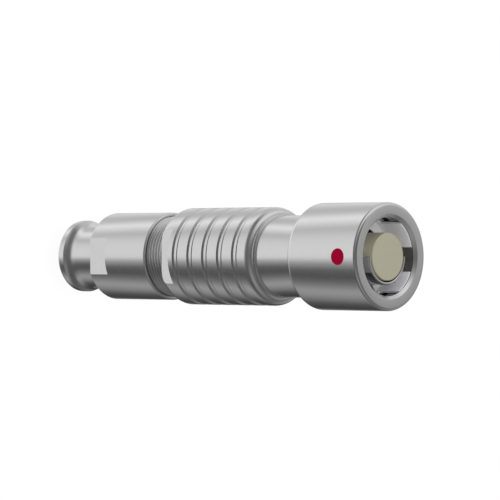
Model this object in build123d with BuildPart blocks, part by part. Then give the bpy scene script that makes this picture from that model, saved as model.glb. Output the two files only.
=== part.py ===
from build123d import *
import os
from math import cos, pi, radians, sin, tan

# A push-pull circular socket for a cable, standing on the rim of its back nut with its mouth upwards.
# All sizes are in millimetres. The axis of the connector is Z, and zero is the rear face of the rim.
# The red mark and one pair of wrench flats face -Y, and the half sleeve of the insert is on the +X side.

# Lengths along the axis, from the rear to the front
tail_length = 7.1
nut_length = 11.0
thread_gap = 2.8
grip_length = 17.15
neck_length = 6.7
collar_length = 11.95

# Radii of the turned outside: the grip and the collar stand proud of the neck between them
neck_radius = 5.45
grip_step = 1.13
collar_step = 1.58
tail_wall = 0.95
rim_step = 0.65

# Rounded edges of the turned outside, some as a share of the step that they round
rim_thickness = 1.2
rim_rounding = 0.4
rim_flare_rise = 1.07
nut_rear_rounding = 0.15
nut_front_share = 0.5
grip_rear_share = 0.74
grip_front_share = 0.9
collar_rear_share = 0.53
collar_front_share = 0.29

# Finger grooves of the grip
groove_count = 5
groove_pitch = 2.72
groove_first = 3.5
groove_depth = 0.27
groove_floor = 0.34
groove_slope = 0.35

# Wrench flats of the nut and the grip
nut_flat_depth = 0.55
nut_flat_length = 3.4
grip_flat_length = 2.2

# Thread between the nut and the shell: the fine ridges stand between its root and its crest
thread_root_depth = 0.25
thread_height = 0.3
thread_clearance = 0.06
nut_wall = 0.5
stub_length = 7.3
stub_chamfer = 0.3

# Mouth and bores of the shell
mouth_rim = 1.55
mouth_chamfer = 0.38
mouth_depth = 4.8
insert_depth = 0.4
latch_depth = 2.4
latch_width = 1.0
latch_cut = 0.4
crown_seat_depth = 0.5
crown_seat_cut = 0.33
neck_wall = 1.05
passage_step = 0.6
shoulder_from_collar_rear = 4.35
slip_clearance = 0.05

# Red alignment mark in the collar
mark_diameter = 2.15
mark_from_front = 2.95
mark_depth = 0.4

# Insert: insulators, half sleeve and contacts
sleeve_fit = 0.15
sleeve_wall = 0.45
sleeve_setback = 0.1
sleeve_edge = 0.06
insulator_gap = 0.1
insulator_edge = 0.12
foot_thickness = 1.0
flange_thickness = 2.0
rear_insulator_length = 4.0
contact_count = 8
contact_circle_share = 0.645
contact_share = 0.274
contact_socket_share = 0.17
contact_socket_depth = 6.0
contact_collar_share = 0.405
contact_collar_length = 0.5
contact_cover = 1.7
contact_clearance = 0.04
cup_share = 0.327
cup_bore_share = 0.235
cup_length = 3.4
cup_notch = 2.2

# Split carrier that holds the insert in the shell
carrier_wall = 0.9
carrier_ledge_step = 0.55
carrier_ledge_length = 1.4
carrier_lip_step = 0.15
carrier_lip_length = 1.2
carrier_length = 15.0
carrier_split = 0.1

# Clamp ring for the cable's screen
clamp_ring_length = 1.4
clamp_ring_wall = 1.25
clamp_ring_chamfer = 0.5

# Earthing crown behind the mouth: a narrow gap for the plug's key and two wide ones for its latch arms,
# each with the direction of its middle and its width in degrees
crown_wall = 0.3
crown_base_length = 0.9
crown_finger_reach = 0.06
crown_gaps = ((85.5, 37.0), (-9.0, 75.0), (189.0, 75.0))

# Collet and the cone that closes it
collet_wall = 1.0
cone_angle = 20.0
cone_mouth_step = 0.05
collet_clearance = 0.1
collet_lift = 0.35
collet_jaw_grip = 0.45
collet_throat_step = 0.2
collet_jaw_length = 4.0
collet_slots = 6
collet_slot_width = 0.6
collet_slot_length = 5.5
collet_tooth_count = 3
collet_tooth_pitch = 0.9
collet_tooth_depth = 0.15

# Stations along the axis, from the rim forwards
nut_rear = tail_length
nut_front = nut_rear + nut_length
grip_rear = nut_front + thread_gap
grip_front = grip_rear + grip_length
collar_rear = grip_front + neck_length
front = collar_rear + collar_length
stub_rear = grip_rear - stub_length
nut_floor = stub_rear - thread_gap

# Radii worked out from the neck, from the outside inwards
grip_radius = neck_radius + grip_step
collar_radius = neck_radius + collar_step
thread_root_radius = neck_radius - thread_root_depth
thread_major_radius = thread_root_radius + thread_height
nut_bore_radius = thread_major_radius + thread_clearance
nut_radius = thread_major_radius + nut_wall
flat_radius = nut_radius - nut_flat_depth
mouth_radius = collar_radius - mouth_rim
bore_radius = mouth_radius - mouth_chamfer
crown_seat_radius = bore_radius + crown_seat_cut
insert_bore_radius = neck_radius - neck_wall
insert_radius = insert_bore_radius - slip_clearance
sleeve_passage_radius = insert_bore_radius - passage_step
sleeve_outer_radius = sleeve_passage_radius - sleeve_fit
sleeve_inner_radius = sleeve_outer_radius - sleeve_wall
insulator_radius = sleeve_inner_radius - insulator_gap
carrier_bore_radius = insert_radius - carrier_wall
rear_insulator_radius = carrier_bore_radius - slip_clearance
cable_radius = insert_bore_radius - collet_wall
tail_radius = cable_radius + tail_wall
rim_radius = tail_radius + rim_step

# Stations along the axis, from the mouth backwards
ledge = front - mouth_depth
shoulder = collar_rear - shoulder_from_collar_rear
foot_rear = shoulder - foot_thickness
flange_rear = foot_rear - flange_thickness
rear_insulator_rear = flange_rear - rear_insulator_length
carrier_rear = flange_rear - carrier_length
clamp_ring_rear = carrier_rear - clamp_ring_length
insulator_front = front - insert_depth

os.makedirs("parts", exist_ok=True)


def save(part, name):
    """Label a finished piece and write it to its own file."""
    part.label = name
    export_step(part, f"parts/{name}.step")


def section(points, roundings=()):
    """A half section of a turned piece from (radius, height) corners, some of them rounded."""
    with BuildSketch(Plane.XZ) as outline:
        with BuildLine():
            Polyline(*points, close=True)
        make_face()
        for radius, height, size in roundings:
            corner = outline.vertices().sort_by_distance(Vector(radius, height))[0]
            fillet(corner, size)
    return outline.sketch


def cut_flats(radius, start, length):
    """Mill a pair of wrench flats into the piece being built, facing -Y and +Y."""
    depth = radius - flat_radius
    for side in (-1, 1):
        with Locations((0, side * (flat_radius + depth), start)):
            Box(
                2 * radius,
                2 * depth,
                length,
                align=(Align.CENTER, Align.CENTER, Align.MIN),
                mode=Mode.SUBTRACT,
            )


# Front shell: collar, neck, grip and threaded stub turned from one bar
with BuildPart() as front_shell:
    revolve(
        section(
            [
                (insert_bore_radius, stub_rear),
                (thread_root_radius, stub_rear),
                (thread_root_radius, grip_rear),
                (grip_radius, grip_rear),
                (grip_radius, grip_front),
                (neck_radius, grip_front),
                (neck_radius, collar_rear),
                (collar_radius, collar_rear),
                (collar_radius, front),
                (mouth_radius, front),
                (bore_radius, front - mouth_chamfer),
                (bore_radius, ledge),
                (sleeve_passage_radius, ledge),
                (sleeve_passage_radius, shoulder),
                (insert_bore_radius, shoulder),
            ],
            [
                (grip_radius, grip_rear, grip_rear_share * (grip_radius - thread_root_radius)),
                (grip_radius, grip_front, grip_front_share * grip_step),
                (collar_radius, collar_rear, collar_rear_share * collar_step),
                (collar_radius, front, collar_front_share * mouth_rim),
            ],
        ),
        axis=Axis.Z,
    )
    with BuildSketch(Plane.XZ):
        for number in range(groove_count):
            middle = grip_rear + groove_first + number * groove_pitch
            floor_end = groove_floor / 2
            mouth_end = floor_end + groove_slope
            with BuildLine():
                Polyline(
                    (grip_radius, middle - mouth_end),
                    (grip_radius - groove_depth, middle - floor_end),
                    (grip_radius - groove_depth, middle + floor_end),
                    (grip_radius, middle + mouth_end),
                    (grip_radius + groove_depth, middle + mouth_end),
                    (grip_radius + groove_depth, middle - mouth_end),
                    close=True,
                )
            make_face()
    revolve(axis=Axis.Z, mode=Mode.SUBTRACT)
    with BuildSketch(Plane.XZ):
        for low, length, cut in (
            (front - latch_depth - latch_width, latch_width, crown_seat_cut + latch_cut),
            (ledge, mouth_depth - crown_seat_depth, crown_seat_cut),
        ):
            with Locations((bore_radius, low)):
                Rectangle(2 * cut, length, align=(Align.CENTER, Align.MIN))
    revolve(axis=Axis.Z, mode=Mode.SUBTRACT)
    stub_edge = front_shell.edges().filter_by(GeomType.CIRCLE).group_by(Axis.Z)[0].sort_by(SortBy.RADIUS)[-1]
    chamfer(stub_edge, stub_chamfer)
    cut_flats(grip_radius, grip_rear, grip_flat_length)
    with BuildSketch(Plane.XZ.offset(collar_radius - mark_depth)):
        with Locations((0, front - mark_from_front)):
            Circle(mark_diameter / 2)
    extrude(amount=2 * mark_depth, mode=Mode.SUBTRACT)
save(front_shell.part, "front_shell")

# Alignment mark: red enamel that fills its recess flush with the collar
with BuildPart() as alignment_mark:
    with BuildSketch(Plane.XZ.offset(collar_radius - mark_depth)):
        with Locations((0, front - mark_from_front)):
            Circle(mark_diameter / 2)
    extrude(amount=2 * mark_depth)
    with Locations((0, 0, collar_rear)):
        Cylinder(
            collar_radius,
            collar_length,
            align=(Align.CENTER, Align.CENTER, Align.MIN),
            mode=Mode.INTERSECT,
        )
save(alignment_mark.part, "alignment_mark")

# Earthing crown: a sprung ring that lines the bore, open to the front between its three broad fingers
crown_outer = crown_seat_radius - slip_clearance
crown_inner = crown_outer - crown_wall
crown_base = ledge + crown_base_length
crown_front = front - crown_seat_depth - slip_clearance
with BuildPart() as earthing_crown:
    revolve(
        section(
            [
                (crown_inner, ledge),
                (crown_outer, ledge),
                (crown_outer, crown_base),
                (crown_outer - crown_finger_reach, crown_front),
                (crown_inner - crown_finger_reach, crown_front),
                (crown_inner, crown_base),
            ]
        ),
        axis=Axis.Z,
    )
    with BuildSketch(Plane.XY.offset(crown_base)):
        for middle, width in crown_gaps:
            sides = [radians(middle + side * width / 2) for side in (-1, 1)]
            reach = 2 * crown_outer
            Polygon((0, 0), *[(reach * cos(angle), reach * sin(angle)) for angle in sides], align=None)
    extrude(amount=mouth_depth, mode=Mode.SUBTRACT)
save(earthing_crown.part, "earthing_crown")

# Insulator: a solid core with a blank front face, and a stepped flange behind the shoulder of the shell
contact_circle_radius = contact_circle_share * insulator_radius
contact_pitch = 2 * contact_circle_radius * sin(pi / contact_count)
contact_radius = contact_share * contact_pitch
contact_collar_radius = contact_collar_share * contact_pitch
core_bore = contact_radius + contact_clearance
collar_bore = contact_collar_radius + contact_clearance
contact_front = insulator_front - contact_cover
with BuildPart() as insulator:
    revolve(
        section(
            [
                (0, flange_rear),
                (insert_radius, flange_rear),
                (insert_radius, foot_rear),
                (insulator_radius, foot_rear),
                (insulator_radius, insulator_front - insulator_edge),
                (insulator_radius - insulator_edge, insulator_front),
                (0, insulator_front),
            ]
        ),
        axis=Axis.Z,
    )
    with BuildSketch(Plane.XY.offset(foot_rear)):
        Circle(insert_radius)
        with Locations((insert_radius, 0)):
            Rectangle(2 * insert_radius, 2 * insert_radius, mode=Mode.SUBTRACT)
    extrude(amount=foot_thickness)
    with BuildSketch(Plane.XY.offset(flange_rear)):
        Circle(core_bore)
        with PolarLocations(contact_circle_radius, contact_count):
            Circle(core_bore)
    extrude(amount=contact_front - flange_rear, mode=Mode.SUBTRACT)
    with BuildSketch(Plane.XY.offset(flange_rear)):
        Circle(collar_bore)
        with PolarLocations(contact_circle_radius, contact_count):
            Circle(collar_bore)
    extrude(amount=contact_collar_length / 2, mode=Mode.SUBTRACT)
save(insulator.part, "insulator")

# Rear insulator: closes the collars of the contacts in from behind
with BuildPart() as rear_insulator:
    with BuildSketch(Plane.XY.offset(rear_insulator_rear)):
        Circle(rear_insulator_radius)
        Circle(core_bore, mode=Mode.SUBTRACT)
        with PolarLocations(contact_circle_radius, contact_count):
            Circle(core_bore, mode=Mode.SUBTRACT)
    extrude(amount=rear_insulator_length)
    with BuildSketch(Plane.XY.offset(flange_rear)):
        Circle(collar_bore)
        with PolarLocations(contact_circle_radius, contact_count):
            Circle(collar_bore)
    extrude(amount=-contact_collar_length / 2, mode=Mode.SUBTRACT)
save(rear_insulator.part, "rear_insulator")

# Half sleeve: a metal half shell round the +X side of the insulator, with a foot under the shoulder
sleeve_front = insulator_front - sleeve_setback
with BuildPart() as guide_half_sleeve:
    revolve(
        section(
            [
                (sleeve_inner_radius, foot_rear),
                (insert_radius, foot_rear),
                (insert_radius, shoulder),
                (sleeve_outer_radius, shoulder),
                (sleeve_outer_radius, sleeve_front - sleeve_edge),
                (sleeve_outer_radius - sleeve_edge, sleeve_front),
                (sleeve_inner_radius, sleeve_front),
            ]
        ),
        axis=Axis.Z,
    )
    split(bisect_by=Plane.YZ, keep=Keep.TOP)
save(guide_half_sleeve.part, "guide_half_sleeve")

# Contacts: socket barrels with a retaining collar and an open solder cup, one in the middle of a ring
contact_socket_radius = contact_socket_share * contact_pitch
cup_radius = cup_share * contact_pitch
cup_bore_radius = cup_bore_share * contact_pitch
contact_outline = [
    (0, rear_insulator_rear - cup_length),
    (cup_radius, rear_insulator_rear - cup_length),
    (cup_radius, rear_insulator_rear),
    (contact_radius, rear_insulator_rear),
    (contact_radius, flange_rear - contact_collar_length / 2),
    (contact_collar_radius, flange_rear - contact_collar_length / 2),
    (contact_collar_radius, flange_rear + contact_collar_length / 2),
    (contact_radius, flange_rear + contact_collar_length / 2),
    (contact_radius, contact_front),
    (contact_socket_radius, contact_front),
    (contact_socket_radius, contact_front - contact_socket_depth),
    (0, contact_front - contact_socket_depth),
]
with BuildPart() as contact:
    revolve(section(contact_outline), axis=Axis.Z)
    with BuildSketch(Plane.XY.offset(rear_insulator_rear - cup_length)):
        Circle(cup_bore_radius)
    extrude(amount=cup_notch, mode=Mode.SUBTRACT)
    with Locations((cup_radius, 0, rear_insulator_rear - cup_length)):
        Box(
            cup_radius,
            4 * cup_radius,
            cup_notch,
            align=(Align.CENTER, Align.CENTER, Align.MIN),
            mode=Mode.SUBTRACT,
        )
contact_places = [Location((0, 0, 0))]
with PolarLocations(contact_circle_radius, contact_count) as ring:
    contact_places += [place for place in ring.locations]
for number, place in enumerate(contact_places, start=1):
    save(contact.part.moved(place), f"contact_{number}")

# Split carrier: two half shells that hold the rear insulator against the flange of the insulator
carrier_ledge_radius = carrier_bore_radius - carrier_ledge_step
carrier_ledge_rear = rear_insulator_rear - carrier_ledge_length
carrier_lip_radius = carrier_bore_radius - carrier_lip_step
with BuildPart() as carrier:
    revolve(
        section(
            [
                (carrier_lip_radius, carrier_rear),
                (insert_radius, carrier_rear),
                (insert_radius, flange_rear),
                (carrier_bore_radius, flange_rear),
                (carrier_bore_radius, rear_insulator_rear),
                (carrier_ledge_radius, rear_insulator_rear),
                (carrier_ledge_radius, carrier_ledge_rear),
                (carrier_bore_radius, carrier_ledge_rear),
                (carrier_bore_radius, carrier_rear + carrier_lip_length),
                (carrier_lip_radius, carrier_rear + carrier_lip_length),
            ]
        ),
        axis=Axis.Z,
    )
    with Locations((0, 0, carrier_rear)):
        Box(
            3 * insert_radius,
            carrier_split,
            2 * carrier_length,
            mode=Mode.SUBTRACT,
        )
        Box(
            3 * insert_radius,
            carrier_split,
            2 * carrier_length,
            align=(Align.CENTER, Align.CENTER, Align.MIN),
            mode=Mode.SUBTRACT,
        )
near_half, far_half = carrier.solids().sort_by(Axis.Y)
save(Part() + near_half, "insert_carrier_near")
save(Part() + far_half, "insert_carrier_far")

# Clamp ring: presses the cable's screen against the carrier, with a chamfer for the screen's strands
clamp_ring_bore_radius = insert_radius - clamp_ring_wall
with BuildPart() as clamp_ring:
    revolve(
        section(
            [
                (clamp_ring_bore_radius + clamp_ring_chamfer, clamp_ring_rear),
                (insert_radius, clamp_ring_rear),
                (insert_radius, carrier_rear),
                (clamp_ring_bore_radius, carrier_rear),
                (clamp_ring_bore_radius, clamp_ring_rear + clamp_ring_chamfer),
            ]
        ),
        axis=Axis.Z,
    )
save(clamp_ring.part, "clamp_ring")

# Back nut: threaded cup, closing cone and bend relief tail with a flared rim
cone_mouth_radius = insert_bore_radius + cone_mouth_step
cone_length = (cone_mouth_radius - cable_radius) / tan(radians(cone_angle))
with BuildPart() as back_nut:
    revolve(
        section(
            [
                (cable_radius, 0),
                (rim_radius, 0),
                (rim_radius, rim_thickness),
                (tail_radius, rim_thickness),
                (tail_radius, nut_rear),
                (nut_radius, nut_rear),
                (nut_radius, nut_front),
                (nut_bore_radius, nut_front),
                (nut_bore_radius, nut_floor),
                (cone_mouth_radius, nut_floor),
                (cable_radius, nut_floor - cone_length),
            ],
            [
                (rim_radius, 0, rim_rounding),
                (nut_radius, nut_rear, nut_rear_rounding),
                (nut_radius, nut_front, nut_front_share * nut_wall),
            ],
        ),
        axis=Axis.Z,
    )
    rim_edge = (rim_radius, rim_thickness)
    flare_end = (tail_radius, rim_thickness + rim_flare_rise)
    with BuildSketch(Plane.XZ):
        with BuildLine():
            TangentArc(flare_end, rim_edge, tangent=(0, -1))
            Polyline(rim_edge, (cable_radius, rim_thickness), (cable_radius, flare_end[1]), flare_end)
        make_face()
    revolve(axis=Axis.Z)
    cut_flats(nut_radius, nut_rear, nut_flat_length)
save(back_nut.part, "back_nut")

# Collet: split sleeve whose tapered jaws the cone of the nut closes on the cable
cone_slope = tan(radians(cone_angle))
collet_rear = nut_floor - cone_length + collet_lift
collet_front = clamp_ring_rear - thread_gap
jaw_radius = cable_radius + collet_lift * cone_slope - collet_clearance / cos(radians(cone_angle))
collet_radius = insert_bore_radius - collet_clearance
collet_jaw_radius = cable_radius - collet_jaw_grip
collet_throat_radius = cable_radius + collet_throat_step
taper_length = (collet_radius - jaw_radius) / cone_slope
with BuildPart() as collet:
    revolve(
        section(
            [
                (collet_jaw_radius, collet_rear),
                (jaw_radius, collet_rear),
                (collet_radius, collet_rear + taper_length),
                (collet_radius, collet_front),
                (collet_throat_radius, collet_front),
                (collet_throat_radius, collet_rear + collet_jaw_length),
                (collet_jaw_radius, collet_rear + collet_jaw_length),
            ]
        ),
        axis=Axis.Z,
    )
    with BuildSketch(Plane.XZ):
        for number in range(collet_tooth_count):
            notch = collet_rear + (number + 1) * collet_tooth_pitch
            with BuildLine():
                Polyline(
                    (collet_jaw_radius - collet_tooth_depth, notch - collet_tooth_pitch / 2),
                    (collet_jaw_radius + collet_tooth_depth, notch),
                    (collet_jaw_radius - collet_tooth_depth, notch + collet_tooth_pitch / 2),
                    close=True,
                )
            make_face()
    revolve(axis=Axis.Z, mode=Mode.SUBTRACT)
    with Locations((0, 0, collet_rear)):
        with PolarLocations(collet_radius, collet_slots):
            Box(
                collet_radius,
                collet_slot_width,
                2 * collet_slot_length,
                mode=Mode.SUBTRACT,
            )
save(collet.part, "collet")
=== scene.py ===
# %% [markdown]
# A push-pull circular connector, dressed for its portrait. The part was turned, milled, plated and
# assembled in CAD, and this script gives it finer curves, its real finishes and a small photo studio.
# Every new piece takes its place from the CAD frame, so the looks and the engineering stay together.

import math

import bmesh
import bpy
from mathutils import Matrix, Vector


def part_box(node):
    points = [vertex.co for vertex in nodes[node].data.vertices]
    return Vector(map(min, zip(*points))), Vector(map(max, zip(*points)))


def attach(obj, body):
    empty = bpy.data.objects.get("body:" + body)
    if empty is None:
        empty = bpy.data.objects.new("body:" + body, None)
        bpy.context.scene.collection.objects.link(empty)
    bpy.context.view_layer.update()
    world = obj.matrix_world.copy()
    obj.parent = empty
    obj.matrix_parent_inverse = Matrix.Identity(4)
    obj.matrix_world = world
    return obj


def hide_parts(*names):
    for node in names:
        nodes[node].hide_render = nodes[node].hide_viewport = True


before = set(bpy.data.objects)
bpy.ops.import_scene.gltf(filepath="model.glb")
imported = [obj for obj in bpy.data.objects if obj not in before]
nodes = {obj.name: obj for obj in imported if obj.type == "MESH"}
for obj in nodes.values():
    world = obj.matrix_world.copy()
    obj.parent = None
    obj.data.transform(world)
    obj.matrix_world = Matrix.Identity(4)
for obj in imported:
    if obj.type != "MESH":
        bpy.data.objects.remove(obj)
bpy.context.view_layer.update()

# %% [markdown]
# The drawing is in millimetres and Blender works in metres, so one small value turns one into the
# other. The ends of each piece are read from the CAD boxes instead of being typed a second time.

# %% Sizes shared by the pieces
mm = 0.001


def ends(node):
    """Lowest and highest point of a CAD node along the connector's axis."""
    low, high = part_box(node)
    return low[2], high[2]


nut_rear_end, nut_front_end = ends("back_nut")
stub_rear, front = ends("front_shell")
insulator_rear, insulator_front = ends("insulator")
sleeve_rear, sleeve_front = ends("guide_half_sleeve")
collar_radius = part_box("front_shell")[1][0]
nut_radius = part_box("back_nut")[1][0]
print("connector length in mm", round(front / mm, 3))
print("collar radius in mm", round(collar_radius / mm, 3))

# %% [markdown]
# Almost everything here came off a lathe. A turned piece is one half outline spun round the axis, as
# the bar spins against the tool. The corners of the outline are rounded first, by bevelling its
# vertices, so each edge break costs one short line instead of a hand-made arc.

# %% Turn an outline into a solid
spin_steps = 256
corner_segments = 8
sharp_angle = math.radians(14)
merge_distance = 0.0001 * mm


def to_object(bm, name):
    """Write a bmesh to a new object in the scene, smooth apart from its sharp edges."""
    bmesh.ops.remove_doubles(bm, verts=bm.verts, dist=merge_distance)
    bmesh.ops.recalc_face_normals(bm, faces=bm.faces)
    for face in bm.faces:
        face.smooth = True
    for edge in bm.edges:
        if len(edge.link_faces) == 2:
            edge.smooth = edge.calc_face_angle() < sharp_angle
    mesh = bpy.data.meshes.new(name)
    bm.to_mesh(mesh)
    bm.free()
    piece = bpy.data.objects.new(name, mesh)
    bpy.context.scene.collection.objects.link(piece)
    return piece


def turned(name, corners, turn=math.tau, start=0.0, steps=spin_steps):
    """Spin a closed outline of (radius, height, rounding) corners round the axis into a solid."""
    bm = bmesh.new()
    outline = []
    for radius, height, _ in corners:
        x, y = radius * math.cos(start), radius * math.sin(start)
        outline.append(bm.verts.new((x, y, height)))
    for one, two in zip(outline, outline[1:] + outline[:1]):
        bm.edges.new((one, two))
    for vert, (_, _, rounding) in zip(outline, corners):
        if rounding:
            along = [edge.other_vert(vert).co - vert.co for edge in vert.link_edges]
            half = along[0].angle(along[1]) / 2
            bmesh.ops.bevel(
                bm,
                geom=[vert],
                offset=rounding / math.tan(half),
                offset_type="OFFSET",
                segments=corner_segments,
                profile=0.5,
                affect="VERTICES",
                material=-1,
            )
    whole = turn == math.tau
    bmesh.ops.spin(
        bm,
        geom=bm.verts[:] + bm.edges[:],
        cent=(0, 0, 0),
        axis=(0, 0, 1),
        dvec=(0, 0, 0),
        angle=turn,
        steps=steps,
        use_merge=whole,
        use_duplicate=False,
    )
    if not whole:
        bmesh.ops.holes_fill(bm, edges=[edge for edge in bm.edges if edge.is_boundary])
    piece = to_object(bm, name)
    print(name, len(piece.data.polygons), "faces")
    return piece


def carve(piece, cutter, operation="DIFFERENCE"):
    """Cut a piece with a second solid, as a mill would, and throw the cutter away."""
    tool = piece.modifiers.new("carve", "BOOLEAN")
    tool.operation = operation
    tool.solver = "EXACT"
    tool.object = cutter
    settled = piece.evaluated_get(bpy.context.evaluated_depsgraph_get())
    carved = bpy.data.meshes.new_from_object(settled)
    piece.modifiers.remove(tool)
    bpy.data.objects.remove(cutter)
    bm = bmesh.new()
    bm.from_mesh(carved)
    bpy.data.meshes.remove(carved)
    name = piece.name
    bpy.data.objects.remove(piece)
    return to_object(bm, name)


# %% [markdown]
# The front shell is one turned bar of brass under satin chrome: the collar round the mouth, a waist,
# the grooved grip for two fingers, and a threaded stub that the back nut screws on. Its outline runs
# up the outside and back down the bore, with the latch groove and the earthing seat inside.

# %% Sizes of the front shell
thread_root = 5.2 * mm
grip_radius = 6.58 * mm
neck_radius = 5.45 * mm
mouth_radius = 5.48 * mm
bore_radius = 5.1 * mm
insert_bore = 4.4 * mm
passage_radius = 3.8 * mm
seat_radius = bore_radius + 0.33 * mm
latch_radius = seat_radius + 0.4 * mm

stub_length = 7.3 * mm
grip_length = 17.15 * mm
neck_length = 6.7 * mm
passage_drop = 4.35 * mm
mouth_depth = 4.8 * mm
grip_rear = stub_rear + stub_length
grip_front = grip_rear + grip_length
collar_rear = grip_front + neck_length
shoulder = collar_rear - passage_drop
ledge = front - mouth_depth
chamfer_end = front - 0.38 * mm
seat_front = front - 0.5 * mm
latch_front = front - 2.4 * mm
latch_rear = front - 3.4 * mm

edge_break = 0.05 * mm
grip_rounding = 1.02 * mm
neck_rounding = 0.16 * mm
collar_rear_rounding = 0.84 * mm
collar_front_rounding = 0.45 * mm
print("grip from", round(grip_rear / mm, 2), "to", round(grip_front / mm, 2), "mm")

# %% [markdown]
# Each groove of the grip has a steep wall behind, a flat floor and a slanted wall in front, which is
# what draws two dark lines round it in the light. In front the grip falls to the waist in a brow, a
# quarter of an ellipse drawn out along the axis, because it is kinder to fingers than a plain arc.

# %% Shape the grooves and the brow of the grip
groove_count = 5
first_groove = grip_rear + 3.5 * mm
groove_pitch = 2.72 * mm
groove_depth = 0.23 * mm
half_groove = 0.5 * mm
groove_floor = (-0.46 * mm, 0.1 * mm)
groove_rounding = 0.02 * mm
groove_corners = []
for number in range(groove_count):
    middle = first_groove + groove_pitch * number
    groove_corners.append((grip_radius, middle - half_groove, groove_rounding))
    for rise in groove_floor:
        groove_corners.append((grip_radius - groove_depth, middle + rise, groove_rounding))
    groove_corners.append((grip_radius, middle + half_groove, groove_rounding))

brow_length = 1.25 * mm
brow_drop = 0.95 * mm
brow_steps = 14
brow = []
for step in range(brow_steps + 1):
    lean = math.pi / 2 * step / brow_steps
    radius = grip_radius - brow_drop * (1 - math.cos(lean))
    brow.append((radius, grip_front - brow_length * (1 - math.sin(lean)), 0))
print(groove_count, "grooves with", len(groove_corners), "corners, brow with", len(brow))

# %% [markdown]
# Now the outline goes round, from the rear end of the stub up the outside to the mouth and back down
# the bore. Each row is one corner, with its radius, its height and the radius that rounds it.

# %% Turn the front shell
front_shell = turned(
    "shell_body",
    [
        (insert_bore, stub_rear, 0),
        (thread_root, stub_rear, 0),
        (thread_root, grip_rear, 0),
        (grip_radius, grip_rear, grip_rounding),
        *groove_corners,
        *brow,
        (neck_radius, grip_front, neck_rounding),
        (neck_radius, collar_rear, edge_break),
        (collar_radius, collar_rear, collar_rear_rounding),
        (collar_radius, front, collar_front_rounding),
        (mouth_radius, front, edge_break),
        (bore_radius, chamfer_end, 0),
        (bore_radius, seat_front, 0),
        (seat_radius, seat_front, 0),
        (seat_radius, latch_front, 0),
        (latch_radius, latch_front, 0),
        (latch_radius, latch_rear, 0),
        (seat_radius, latch_rear, 0),
        (seat_radius, ledge, 0),
        (passage_radius, ledge, 0),
        (passage_radius, shoulder, 0),
        (insert_bore, shoulder, 0),
    ],
)

# %% [markdown]
# A spanner needs two parallel faces, so a pair of flats is milled into the rear of the grip, and a
# second pair into the nut. Both are cut for an eleven millimetre spanner by one and the same cutter.

# %% Mill the wrench flats and the seat of the mark
half_across = 5.45 * mm
grip_flat_length = 2.2 * mm
nut_flat_length = 3.4 * mm
cutter_overrun = 0.5 * mm
mark_depth = 0.4 * mm
mark_steps = 96


def flat_cutter(low, high):
    """Two blocks either side of the axis that leave the wrench size standing between them."""
    bm = bmesh.new()
    reach = 2 * collar_radius
    for side in (-1, 1):
        block = bmesh.ops.create_cube(bm, size=1)["verts"]
        bmesh.ops.scale(bm, verts=block, vec=(reach, reach, high - low))
        away = half_across + reach / 2
        bmesh.ops.translate(bm, verts=block, vec=(0, side * away, (low + high) / 2))
    return to_object(bm, "flat_cutter")


def mark_plug(radius, depth):
    """A round plug along -Y at the height of the mark, for the seat and for the enamel in it."""
    low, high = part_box("alignment_mark")
    bm = bmesh.new()
    plug = bmesh.ops.create_cone(
        bm, cap_ends=True, segments=mark_steps, radius1=radius, radius2=radius, depth=2 * depth
    )["verts"]
    bmesh.ops.rotate(bm, verts=plug, cent=(0, 0, 0), matrix=Matrix.Rotation(math.pi / 2, 3, "X"))
    bmesh.ops.translate(bm, verts=plug, vec=(0, -collar_radius, (low[2] + high[2]) / 2))
    return to_object(bm, "mark_plug")


mark_radius = (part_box("alignment_mark")[1][0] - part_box("alignment_mark")[0][0]) / 2
grip_flats = flat_cutter(grip_rear - cutter_overrun, grip_rear + grip_flat_length)
front_shell = carve(front_shell, grip_flats)
front_shell = carve(front_shell, mark_plug(mark_radius, mark_depth))
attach(front_shell, "socket")
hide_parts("front_shell")
print("front shell", len(front_shell.data.polygons), "faces after milling")

# %% [markdown]
# The mark is a drop of crimson enamel in a round seat, ground flush with the collar after it dries.
# A plug of enamel is made first, and keeping only what lies inside the collar's own cylinder gives it
# the same curve as the metal round it.

# %% Fill the red alignment mark
enamel_gap = 0.02 * mm
mark_face = collar_radius - enamel_gap
mark = mark_plug(mark_radius - enamel_gap, mark_depth - enamel_gap)
collar_form = turned(
    "collar_form",
    [(0, collar_rear, 0), (mark_face, collar_rear, 0), (mark_face, front, 0), (0, front, 0)],
)
mark = carve(mark, collar_form, "INTERSECT")
mark.name = "enamel_mark"
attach(mark, "socket")
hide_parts("alignment_mark")
print("mark diameter in mm", round(2 * mark_radius / mm, 2))

# %% [markdown]
# The stub behind the grip carries a fine thread with half a millimetre of pitch. A thread is one tooth
# swept along a helix, and spin does just that when it also climbs a little at every step.

# %% Cut the thread of the stub
thread_pitch = 0.5 * mm
thread_crest = 5.5 * mm
thread_sink = 0.05 * mm
half_tooth_angle = math.radians(30)
steps_per_turn = 96
thread_start = stub_rear + 0.6 * mm
thread_end = grip_rear - 0.1 * mm
thread_turns = math.floor((thread_end - thread_start) / thread_pitch)


def thread_ridge(name, root, crest, start, turns):
    """One sixty degree tooth on a right-hand helix."""
    flank = (crest - root) * math.tan(half_tooth_angle)
    flat = thread_pitch / 8
    bm = bmesh.new()
    tooth = [
        bm.verts.new((radius, 0, start + rise))
        for radius, rise in (
            (root - thread_sink, -flank - flat / 2),
            (root, -flank - flat / 2),
            (crest, -flat / 2),
            (crest, flat / 2),
            (root, flank + flat / 2),
            (root - thread_sink, flank + flat / 2),
        )
    ]
    profile = bm.faces.new(tooth)
    bmesh.ops.spin(
        bm,
        geom=[profile, *profile.edges, *profile.verts],
        cent=(0, 0, 0),
        axis=(0, 0, 1),
        dvec=(0, 0, thread_pitch / steps_per_turn),
        angle=math.tau * turns,
        steps=steps_per_turn * turns,
        use_merge=False,
        use_duplicate=False,
    )
    return to_object(bm, name)


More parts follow.
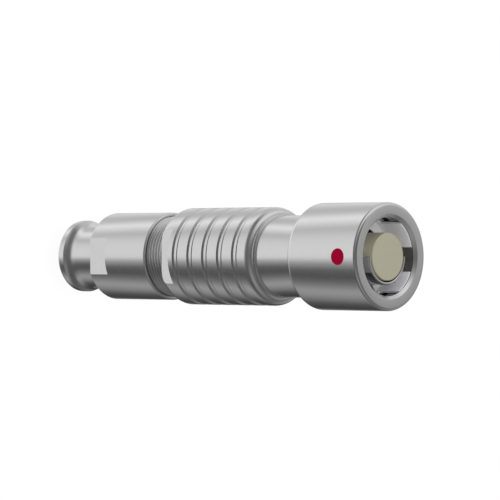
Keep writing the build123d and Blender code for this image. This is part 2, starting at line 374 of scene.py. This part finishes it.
shell_thread = thread_ridge("shell_thread", thread_root, thread_crest, thread_start, thread_turns)
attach(shell_thread, "socket")
print("thread with", thread_turns, "turns and", len(shell_thread.data.polygons), "faces")

# %% [markdown]
# The back nut is turned in one piece as well: a cup that screws over the thread, a waisted tail for
# the cable, and a thin rim whose front side flares in one concave curve, so that a bend relief can
# be stretched over it and stay there.

# %% Turn the back nut
cable_radius = 3.4 * mm
tail_radius = 4.35 * mm
rim_radius = 5.0 * mm
rim_thickness = 1.2 * mm
rim_rounding = 0.4 * mm
flare_rise = 2.0 * mm
flare_power = 2.6
flare_steps = 14
tail_length = 7.1 * mm
nut_rear = nut_rear_end + tail_length
nut_floor = stub_rear - 2.8 * mm
nut_bore = thread_crest + 0.06 * mm
nut_rear_rounding = 0.15 * mm
nut_front_rounding = 0.25 * mm
cone_mouth = 4.45 * mm
half_cone_angle = math.radians(20)
cone_end = nut_floor - (cone_mouth - cable_radius) / math.tan(half_cone_angle)

flare = []
for step in range(flare_steps + 1):
    share = step / flare_steps
    radius = tail_radius + (rim_radius - tail_radius) * (1 - share) ** flare_power
    flare.append((radius, nut_rear_end + rim_thickness + share * flare_rise, 0))

back_nut = turned(
    "nut_body",
    [
        (cable_radius, nut_rear_end, edge_break),
        (rim_radius, nut_rear_end, rim_rounding),
        *flare,
        (tail_radius, nut_rear, 0),
        (nut_radius, nut_rear, nut_rear_rounding),
        (nut_radius, nut_front_end, nut_front_rounding),
        (nut_bore, nut_front_end, 0),
        (nut_bore, nut_floor, 0),
        (cone_mouth, nut_floor, 0),
        (cable_radius, cone_end, 0),
    ],
)
back_nut = carve(back_nut, flat_cutter(nut_rear - cutter_overrun, nut_rear + nut_flat_length))
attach(back_nut, "back_nut")
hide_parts("back_nut")
print("back nut", len(back_nut.data.polygons), "faces after milling")

# %% [markdown]
# Inside the mouth stands the insert: a core of machined plastic, and a metal half sleeve round one
# side of it that keys the plug. Both are turned, and the sleeve is spun through half a turn only.

# %% Turn the insulator and its half sleeve
insulator_radius = 3.1 * mm
insulator_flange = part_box("insulator")[1][0]
flange_height = 2.0 * mm
skimmed_edge = 0.12 * mm
sleeve_inner = 3.3 * mm
sleeve_outer = 3.65 * mm
sleeve_edge = 0.14 * mm
foot_height = 1.0 * mm

insulator = turned(
    "insulator_core",
    [
        (0, insulator_rear, 0),
        (insulator_flange, insulator_rear, 0),
        (insulator_flange, insulator_rear + flange_height, 0),
        (insulator_radius, insulator_rear + flange_height, 0),
        (insulator_radius, insulator_front, skimmed_edge),
        (0, insulator_front, 0),
    ],
)
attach(insulator, "socket")
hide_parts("insulator")

half_sleeve = turned(
    "half_sleeve",
    [
        (sleeve_inner, sleeve_rear, 0),
        (insulator_flange, sleeve_rear, 0),
        (insulator_flange, sleeve_rear + foot_height, 0),
        (sleeve_outer, sleeve_rear + foot_height, 0),
        (sleeve_outer, sleeve_front, sleeve_edge),
        (sleeve_inner, sleeve_front, skimmed_edge),
    ],
    turn=math.pi,
    start=-math.pi / 2,
    steps=spin_steps // 2,
)
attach(half_sleeve, "socket")
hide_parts("guide_half_sleeve")

# %% [markdown]
# The earthing crown is a sprung ring that lines the bore. It stands on a thin flange, three broad
# fingers reach forward from its base, and the gaps between them let the plug's key and its two latch
# arms through. It is spun whole, and the gaps are then cut with wedges that are spun too. At two of
# the gaps the flange is cut back as well, so that nothing stands between a key and the ledge.

# %% Turn the earthing crown and cut its gaps
crown_clearance = 0.05 * mm
crown_wall = 0.3 * mm
crown_lean = 0.06 * mm
flange_thickness = 0.12 * mm
flange_bore = passage_radius + crown_clearance
crown_outer = seat_radius - crown_clearance
crown_inner = crown_outer - crown_wall
crown_base = ledge + 0.9 * mm
crown_front = ends("earthing_crown")[1]
crown_gaps = ((85.5, 37), (-9, 75), (187, 79))
flange_cut_radius = crown_inner - 0.02 * mm
flange_cut_low = ledge - 0.1 * mm
flange_cut_high = crown_base - 0.1 * mm
wedge_steps = 16


def wedge(middle, width, reach, low, high):
    """A wedge round the axis, from its middle direction and its width in degrees."""
    return turned(
        "wedge",
        [(0, low, 0), (reach, low, 0), (reach, high, 0), (0, high, 0)],
        turn=math.radians(width),
        start=math.radians(middle - width / 2),
        steps=wedge_steps,
    )


crown = turned(
    "crown_ring",
    [
        (crown_outer, ledge, 0),
        (crown_outer, crown_base, 0),
        (crown_outer - crown_lean, crown_front, edge_break),
        (crown_inner - crown_lean, crown_front, edge_break),
        (crown_inner, crown_base, 0),
        (crown_inner, ledge + flange_thickness, 0),
        (flange_bore, ledge + flange_thickness, 0),
        (flange_bore, ledge, 0),
    ],
)
for middle, width in crown_gaps:
    crown = carve(crown, wedge(middle, width, collar_radius, crown_base, front))
for middle, width in crown_gaps[:2]:
    crown = carve(crown, wedge(middle, width, flange_cut_radius, flange_cut_low, flange_cut_high))
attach(crown, "socket")
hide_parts("earthing_crown")
print("crown", len(crown.data.polygons), "faces")

# %% [markdown]
# Materials are small node networks. One function writes a colour as a designer notes it, in sRGB hex,
# and one adds a node with its settings and links, which keeps each recipe short enough to read.

# %% Helpers for materials
def colour(hex_code):
    """An sRGB hex colour as the linear colour that a shader expects."""
    channels = [int(hex_code[place : place + 2], 16) / 255 for place in (1, 3, 5)]
    linear = [c / 12.92 if c <= 0.04045 else ((c + 0.055) / 1.055) ** 2.4 for c in channels]
    return (*linear, 1)


def grey(brightness):
    """A neutral colour of the given brightness."""
    return (brightness, brightness, brightness, 1)


def add(tree, kind, settings=None, values=None, links=None):
    """Add one node, set its properties and sockets, and link the outputs of earlier nodes to it."""
    node = tree.nodes.new("ShaderNode" + kind)
    for name, value in (settings or {}).items():
        setattr(node, name, value)
    for socket, value in (values or {}).items():
        node.inputs[socket].default_value = value
    for socket, output in (links or {}).items():
        tree.links.new(output, node.inputs[socket])
    return node


def new_material(name):
    """An empty node material and its output node."""
    material = bpy.data.materials.new(name)
    material.use_nodes = True
    material.node_tree.nodes.clear()
    return material, material.node_tree, add(material.node_tree, "OutputMaterial")


def paint(material, *pieces):
    """Give pieces or CAD nodes one material."""
    for piece in pieces:
        piece.data.materials.clear()
        piece.data.materials.append(material)


# %% [markdown]
# Satin chrome over turned brass. The tool leaves rings some hundredths of a millimetre apart, and the
# plating rounds them off, so reflections stay readable but soft. The rings here are a noise stretched
# all the way round and squeezed along the axis, drawn coarser than life so that they show at all.
#
# The thread has the same plating, duller and in a slightly darker colour that is painted shade for the
# hollow between the grip and the nut, and the half sleeve in the mouth has a finer, nearly mirror-like
# one. The wall of the mouth behind its lip is the dullest, and its darker colour is painted shade for
# that deep narrow hole.

# %% Satin chrome of the shell and the nut
ring_pitch = 0.2 * mm
ring_stretch = (0.05, 0.05, 1)
grain_size = 0.6 * mm
cloudiness = 0.03


def lathe_metal(name, hex_code, roughness, ring_depth, metallic=1.0):
    """Plated metal with turning rings across the axis and a faint cloudiness of the plating."""
    material, tree, output = new_material(name)
    place = add(tree, "TexCoord")
    squeezed = add(
        tree,
        "Mapping",
        values={"Scale": ring_stretch},
        links={"Vector": place.outputs["Object"]},
    )
    rings = add(
        tree,
        "TexNoise",
        values={"Scale": 1 / ring_pitch, "Detail": 2, "Roughness": 0.6},
        links={"Vector": squeezed.outputs["Vector"]},
    )
    cloud = add(
        tree,
        "TexNoise",
        values={"Scale": 1 / grain_size, "Detail": 3},
        links={"Vector": place.outputs["Object"]},
    )
    matt = add(
        tree,
        "MapRange",
        values={
            "From Min": 0.3,
            "From Max": 0.7,
            "To Min": roughness - cloudiness,
            "To Max": roughness + cloudiness,
        },
        links={"Value": cloud.outputs["Fac"]},
    )
    relief = add(
        tree,
        "Bump",
        values={"Strength": 0.5, "Distance": ring_depth},
        links={"Height": rings.outputs["Fac"]},
    )
    metal = add(
        tree,
        "BsdfPrincipled",
        values={"Base Color": colour(hex_code), "Metallic": metallic},
        links={"Roughness": matt.outputs["Result"], "Normal": relief.outputs["Normal"]},
    )
    tree.links.new(metal.outputs["BSDF"], output.inputs["Surface"])
    return material


satin_chrome = lathe_metal("satin_chrome", "#DBDBDB", 0.2, 0.004 * mm)
polished_chrome = lathe_metal("polished_chrome", "#DBDBDB", 0.07, 0.001 * mm)
# The thread's slightly darker colour is painted shade for the hollow between the grip and the nut.
thread_chrome_painted_shade = lathe_metal("thread_chrome_painted_shade", "#CDCDCD", 0.3, 0.004 * mm)
paint(satin_chrome, front_shell, back_nut)
paint(thread_chrome_painted_shade, shell_thread)
paint(polished_chrome, half_sleeve)

# The darker colour of the wall deep in the mouth is painted shade for that deep narrow hole.
bore_chrome_painted_shade = lathe_metal("bore_chrome_painted_shade", "#BCBCBC", 0.42, 0.004 * mm)
lip_depth = 0.39 * mm
front_shell.data.materials.append(bore_chrome_painted_shade)
for face in front_shell.data.polygons:
    behind_lip = ledge - edge_break < face.center.z < front - lip_depth
    if behind_lip and face.center.xy.length < latch_radius + edge_break:
        face.material_index = 1
print("painted", satin_chrome.name, "outside and", bore_chrome_painted_shade.name, "in the mouth")

# %% [markdown]
# The mark is stoving enamel: a strong crimson, ground down with the collar and so without a shine of
# its own. The core is a machined engineering plastic in beige. Its face was skimmed flat, so it has
# the fine flecks and the dull sheen of cut plastic rather than a moulded gloss.

# %% Enamel and machined plastic
fleck_size = 0.4 * mm

enamel, tree, output = new_material("crimson_enamel")
coat = add(
    tree,
    "BsdfPrincipled",
    values={"Base Color": colour("#A3002F"), "Roughness": 0.4, "Specular IOR Level": 0.03},
)
tree.links.new(coat.outputs["BSDF"], output.inputs["Surface"])
paint(enamel, mark)

plastic, tree, output = new_material("machined_beige_plastic")
place = add(tree, "TexCoord")
flecks = add(
    tree,
    "TexNoise",
    values={"Scale": 1 / fleck_size, "Detail": 4},
    links={"Vector": place.outputs["Object"]},
)
tint = add(
    tree,
    "MixRGB",
    values={"Color1": colour("#A9A68F"), "Color2": colour("#B3B09B")},
    links={"Fac": flecks.outputs["Fac"]},
)
skim = add(
    tree,
    "Bump",
    values={"Strength": 0.15, "Distance": 0.005 * mm},
    links={"Height": flecks.outputs["Fac"]},
)
dull = add(
    tree,
    "BsdfPrincipled",
    values={"Roughness": 0.48},
    links={"Base Color": tint.outputs["Color"], "Normal": skim.outputs["Normal"]},
)
tree.links.new(dull.outputs["BSDF"], output.inputs["Surface"])
paint(plastic, insulator, nodes["rear_insulator"])
print("painted the mark and the insulators")

# %% [markdown]
# The inner pieces have their own metals: gold on the contacts, nickel over brass on the carriers, the
# clamp ring and the collet, and dull tin on the bronze of the earthing crown. Fresh matt tin scatters
# most of the light that falls on it, which is why the crown looks like a pale ring inside the mouth.

# %% Metals of the inner pieces
gold = lathe_metal("contact_gold_plate", "#E3B75A", 0.18, 0.002 * mm)
nickel = lathe_metal("nickel_plated_brass", "#CFC8B6", 0.26, 0.004 * mm)
dull_tin = lathe_metal("dull_tin_on_bronze", "#F8F7FA", 0.6, 0.003 * mm, metallic=0.1)
paint(gold, *[piece for name, piece in nodes.items() if name.startswith("contact_")])
for name in ("insert_carrier_near", "insert_carrier_far", "clamp_ring", "collet"):
    paint(nickel, nodes[name])
paint(dull_tin, crown)
print("painted", len(nodes), "CAD nodes and their stand-ins")

# %% [markdown]
# Metal shows the room more than itself. This connector was lit like a watch, and the world paints that
# studio by compass direction, with azimuth zero towards the mark and ninety degrees to the +X side.
#
# Three rings of cards stand one above the other. The lowest is what the barrels mirror, and it gives
# them a broad bright front beside a dark flank. The middle one is dim in front, so every rounded edge
# draws a dark line. The highest has a bright window at the upper left for the face of the collar. A
# dim ceiling closes the room, and the table under it is bright on one side and dark on the other.

# %% Cards of the studio, as azimuth in degrees and brightness
cards_below = (
    (-180, 0.50),
    (-150, 0.84),
    (-122, 0.60),
    (-108, 0.64),
    (-88, 1.10),
    (-62, 0.60),
    (-40, 0.82),
    (-26, 0.86),
    (2, 0.88),
    (13, 0.42),
    (28, 0.14),
    (44, 0.10),
    (57, 0.18),
    (80, 0.42),
    (95, 0.33),
    (120, 0.10),
    (150, 0.04),
    (180, 0.50),
)
cards_level = (
    (-180, 0.25),
    (-150, 0.70),
    (-110, 0.65),
    (-80, 0.20),
    (0, 0.15),
    (60, 0.10),
    (120, 0.15),
    (155, 0.40),
    (180, 0.25),
)
cards_above = (
    (-180, 0.42),
    (-165, 0.66),
    (-140, 0.88),
    (-90, 0.90),
    (-50, 0.40),
    (-20, 0.20),
    (0, 0.16),
    (25, 0.22),
    (60, 0.32),
    (100, 0.24),
    (130, 0.13),
    (165, 0.26),
    (180, 0.42),
)
table_cards = (1.3, 0.9, 0.15)
table_reach = 0.36
ceiling_brightness = 0.15
print("studio cards below, level and above", len(cards_below), len(cards_level), len(cards_above))

# %% [markdown]
# A gradient turns the compass direction of a ray into a place on a colour ramp, which makes a ring of
# the cards. The height of the ray then says which ring it meets. The rings melt into each other over a
# short stretch of height, so that no seam is mirrored in the metal.

# %% Stand the rings of cards one above the other
studio = bpy.data.worlds.new("studio")
bpy.context.scene.world = studio
studio.use_nodes = True
tree = studio.node_tree
tree.nodes.clear()
output = add(tree, "OutputWorld")


def ring_of_cards(cards, compass):
    """A colour ramp round the horizon, from (azimuth in degrees, brightness) pairs."""
    ring = add(tree, "ValToRGB", links={"Fac": compass.outputs["Fac"]})
    stops = ring.color_ramp.elements
    for number, (azimuth, brightness) in enumerate(cards):
        along = azimuth / 360 + 0.5
        stop = stops[number] if number < 2 else stops.new(along)
        stop.position = along
        stop.color = grey(brightness)
    return ring


direction = add(tree, "TexCoord")
faced = add(
    tree,
    "Mapping",
    values={"Rotation": (0, 0, math.pi / 2)},
    links={"Vector": direction.outputs["Generated"]},
)
compass = add(
    tree,
    "TexGradient",
    settings={"gradient_type": "RADIAL"},
    links={"Vector": faced.outputs["Vector"]},
)
below = ring_of_cards(cards_below, compass)
level = ring_of_cards(cards_level, compass)
above = ring_of_cards(cards_above, compass)
height = add(tree, "SeparateXYZ", links={"Vector": direction.outputs["Generated"]})


def blend_upwards(low, high, start, end):
    """Change from one ring of cards to the next between two heights of the view direction."""
    rise = add(
        tree,
        "MapRange",
        settings={"interpolation_type": "SMOOTHSTEP"},
        values={"From Min": start, "From Max": end},
        links={"Value": height.outputs["Z"]},
    )
    return add(
        tree,
        "MixRGB",
        links={
            "Fac": rise.outputs["Result"],
            "Color1": low.outputs["Color"],
            "Color2": high.outputs["Color"],
        },
    )


across = add(
    tree,
    "MapRange",
    values={"From Min": -table_reach, "From Max": table_reach},
    links={"Value": height.outputs["X"]},
)
table = add(tree, "ValToRGB", links={"Fac": across.outputs["Result"]})
table.color_ramp.elements.new(0.5)
for stop, brightness in zip(table.color_ramp.elements, table_cards):
    stop.color = grey(brightness)
ceiling = add(tree, "RGB")
ceiling.outputs["Color"].default_value = grey(ceiling_brightness)
room = table
for layer, start, end in (
    (below, -0.98, -0.8),
    (level, -0.45, -0.1),
    (above, 0.2, 0.4),
    (ceiling, 0.74, 0.88),
):
    room = blend_upwards(room, layer, start, end)
print("studio with", len(tree.nodes), "nodes")

# %% [markdown]
# Only rays that a shiny surface sends out meet the cards. What is matt gets even light from all round,
# and the camera sees a clean white background.

# %% Show each kind of ray its own light
even_light = 0.6
seen = add(tree, "LightPath")
studio_light = add(tree, "Background", links={"Color": room.outputs["Color"]})
plain_light = add(tree, "Background", values={"Color": grey(even_light)})
white = add(tree, "Background", values={"Color": grey(1)})
by_gloss = add(
    tree,
    "MixShader",
    links={
        "Fac": seen.outputs["Is Glossy Ray"],
        1: plain_light.outputs["Background"],
        2: studio_light.outputs["Background"],
    },
)
by_camera = add(
    tree,
    "MixShader",
    links={
        "Fac": seen.outputs["Is Camera Ray"],
        1: by_gloss.outputs["Shader"],
        2: white.outputs["Background"],
    },
)
tree.links.new(by_camera.outputs["Shader"], output.inputs["Surface"])
print("even light on matt surfaces", even_light)

# %% [markdown]
# The floor is white paper. Most of its white is given to the camera directly, so the background stays
# clean at any lamp level, and the rest is lit as paper is, which keeps a soft shadow. It lies a few
# millimetres under the rim, because the nut comes down that far when it is unscrewed. Neither the
# paper nor the lamp is mirrored in the metal, which sees the cards of the studio instead.

# %% Lay the floor and hang the lamp
floor_drop = 3.6 * mm
paper_shine = 1.05
paper_share = 0.9

bm = bmesh.new()
bmesh.ops.create_grid(bm, x_segments=1, y_segments=1, size=1.5)
floor = to_object(bm, "paper_floor")
floor.location.z = -floor_drop
paper, tree, output = new_material("white_paper")
seen = add(tree, "LightPath")
lit = add(tree, "BsdfDiffuse", values={"Color": grey(0.8)})
bright = add(tree, "Emission", values={"Color": grey(1), "Strength": paper_shine})
shown = add(
    tree,
    "MixShader",
    values={"Fac": paper_share},
    links={1: lit.outputs["BSDF"], 2: bright.outputs["Emission"]},
)
by_camera = add(
    tree,
    "MixShader",
    links={
        "Fac": seen.outputs["Is Camera Ray"],
        1: lit.outputs["BSDF"],
        2: shown.outputs["Shader"],
    },
)
tree.links.new(by_camera.outputs["Shader"], output.inputs["Surface"])
paint(paper, floor)
floor.visible_glossy = False

lamp_data = bpy.data.lights.new("overhead_lamp", "AREA")
lamp_data.shape = "DISK"
lamp_data.size = 0.5
lamp_data.energy = 1.3
lamp = bpy.data.objects.new("overhead_lamp", lamp_data)
lamp.location = (-0.08, -0.24, 0.55)
lamp.rotation_euler = Vector(lamp.location).to_track_quat("Z", "Y").to_euler()
lamp.visible_glossy = False
bpy.context.scene.collection.objects.link(lamp)
print("floor and lamp in place")

# %% [markdown]
# The photograph looks down on the mark from about forty-three degrees, with the camera turned on its
# side so that the axis of the connector runs across the frame. A long lens some forty centimetres
# away keeps the ellipses of the mouth nearly parallel.

# %% Set up the camera
look_down = math.radians(42.62)
distance = 422.7 * mm
slide_along = 23.66 * mm
slide_up = 0.854 * mm
focal_length = 215.1

towards_camera = Vector((0, -math.cos(look_down), math.sin(look_down)))
camera_right = Vector((0, math.sin(look_down), math.cos(look_down)))
camera_up = Vector((-1, 0, 0))
camera_data = bpy.data.cameras.new("portrait")
camera_data.lens = focal_length
camera_data.clip_start = 0.01
camera = bpy.data.objects.new("portrait", camera_data)
place = camera_right * slide_along + camera_up * slide_up + towards_camera * distance
turn = Matrix((camera_right, camera_up, towards_camera)).transposed().to_4x4()
camera.matrix_world = Matrix.Translation(place) @ turn
bpy.context.scene.collection.objects.link(camera)
bpy.context.scene.camera = camera
print("camera at", [round(value, 4) for value in place])

# %% [markdown]
# No film look and no exposure trick.

# %% Colour management
bpy.context.scene.view_settings.view_transform = "Standard"
